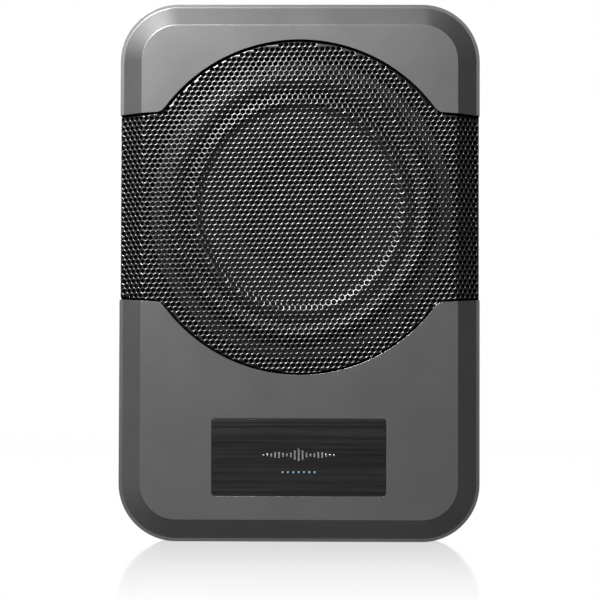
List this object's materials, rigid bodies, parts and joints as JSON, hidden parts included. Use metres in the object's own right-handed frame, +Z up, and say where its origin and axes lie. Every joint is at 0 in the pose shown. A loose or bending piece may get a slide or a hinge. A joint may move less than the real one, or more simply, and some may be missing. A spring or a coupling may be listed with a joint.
{
  "type": "powered car subwoofer",
  "caption": "Slim powered under-seat subwoofer: sloping-edged case, embossed perforated grille over a sprung driver, side bay of sockets, knobs and a slider.",
  "frame": {"origin": "middle of the short end that it stands on, in the middle of the depth with the rubber feet", "axes": "+Z up along the length, -Y out of the grille, +X across the width towards the connector bay"},
  "size_m": [0.231, 0.072, 0.345],
  "materials": {
    "cover_paint": "die casting with fine satin metallic grey paint",
    "case_black": "black crinkle powder coat",
    "foam_black": "closed-cell foam",
    "grille_steel": "perforated steel with semi-gloss black paint",
    "frame_black": "matte black moulding",
    "badge_black": "black anodised, brushed across",
    "emblem_silver": "bright silver",
    "gasket_grey": "grey foam gasket",
    "basket_steel": "black painted pressed steel",
    "surround_rubber": "soft matte rubber",
    "spider_cloth": "resin-treated cloth",
    "cone_paper": "pressed pulp with fibres",
    "cap_paper": "dark pressed pulp",
    "former_board": "wound former",
    "coil_copper": "enamelled copper windings",
    "plate_zinc": "zinc plated steel",
    "magnet_ferrite": "sintered ferrite",
    "board_brown": "phenolic board",
    "wire_black": "insulated wire",
    "board_green": "circuit board with solder mask",
    "heatsink_alu": "extruded aluminium",
    "part_black": "moulded black plastic",
    "fuse_red": "clear-coloured blade fuse",
    "panel_black": "fine textured moulding",
    "socket_ivory": "moulded nylon",
    "pin_gold": "gold plated",
    "rca_plastic": "red and white moulded insulators",
    "led_lens": "diffused blue lens",
    "pot_blue": "moulded control body",
    "knob_black": "fluted moulded plastic",
    "screw_black": "black zinc",
    "screw_zinc": "bright zinc",
    "insert_brass": "turned brass",
    "foot_rubber": "matte rubber",
    "label_foil": "blank brushed foil"
  },
  "bodies": {
    "case": {"front_cover": "cover_paint", "rear_case": "case_black", "case_gasket": "foam_black", "grille": "grille_steel", "grille_frame": "frame_black", "badge_plate": "badge_black", "badge_emblem": "emblem_silver", "driver_gasket": "gasket_grey", "driver_basket": "basket_steel", "surround": "surround_rubber", "spider": "spider_cloth", "top_plate": "plate_zinc", "magnet": "magnet_ferrite", "pole_yoke": "plate_zinc", "damping_pad": "foam_black", "terminal_strip": "board_brown", "tinsel_leads": "coil_copper", "driver_wires": "wire_black", "amp_board": "board_green", "heatsink": "heatsink_alu", "output_transistors": "part_black", "filter_capacitors": "part_black", "power_transformer": "coil_copper", "output_inductor": "coil_copper", "fuse_holder": "part_black", "fuse": "fuse_red", "control_board": "board_green", "connector_panel": "panel_black", "power_socket": "socket_ivory", "power_pins": "pin_gold", "speaker_socket": "part_black", "speaker_pins": "screw_zinc", "rca_shells": "pin_gold", "rca_insulators": "rca_plastic", "remote_jack": "part_black", "power_led": "led_lens", "gain_pot": "pot_blue", "lowpass_pot": "pot_blue", "phase_switch": "screw_zinc", "driver_screws": "screw_black", "cover_screws": "screw_black", "board_screws": "screw_zinc", "panel_screws": "screw_zinc", "bracket_inserts": "insert_brass", "rubber_feet": "foot_rubber", "rating_label": "label_foil"},
    "cone_assembly": {"cone": "cone_paper", "dust_cap": "cap_paper", "coil_former": "former_board", "voice_coil": "coil_copper"},
    "gain_control": {"gain_knob": "knob_black"},
    "lowpass_control": {"lowpass_knob": "knob_black"},
    "phase_control": {"phase_slider": "knob_black"}
  },
  "joints": [
    {"name": "cone_travel", "type": "slide", "parent": "case", "child": "cone_assembly", "axis": [0, -1, 0], "range_m": [-0.005, 0.005], "stiffness_N_per_m": 3500, "deforming": ["surround", "spider", "tinsel_leads"]},
    {"name": "gain_turn", "type": "hinge", "parent": "case", "child": "gain_control", "pos_m": [0.1045, 0.011, 0.122], "axis": [1, 0, 0], "range_deg": [-140, 140]},
    {"name": "lowpass_turn", "type": "hinge", "parent": "case", "child": "lowpass_control", "pos_m": [0.1045, 0.011, 0.138], "axis": [1, 0, 0], "range_deg": [-140, 140]},
    {"name": "phase_slide", "type": "slide", "parent": "case", "child": "phase_control", "axis": [0, 0, 1], "range_m": [0, 0.004]}
  ]
}
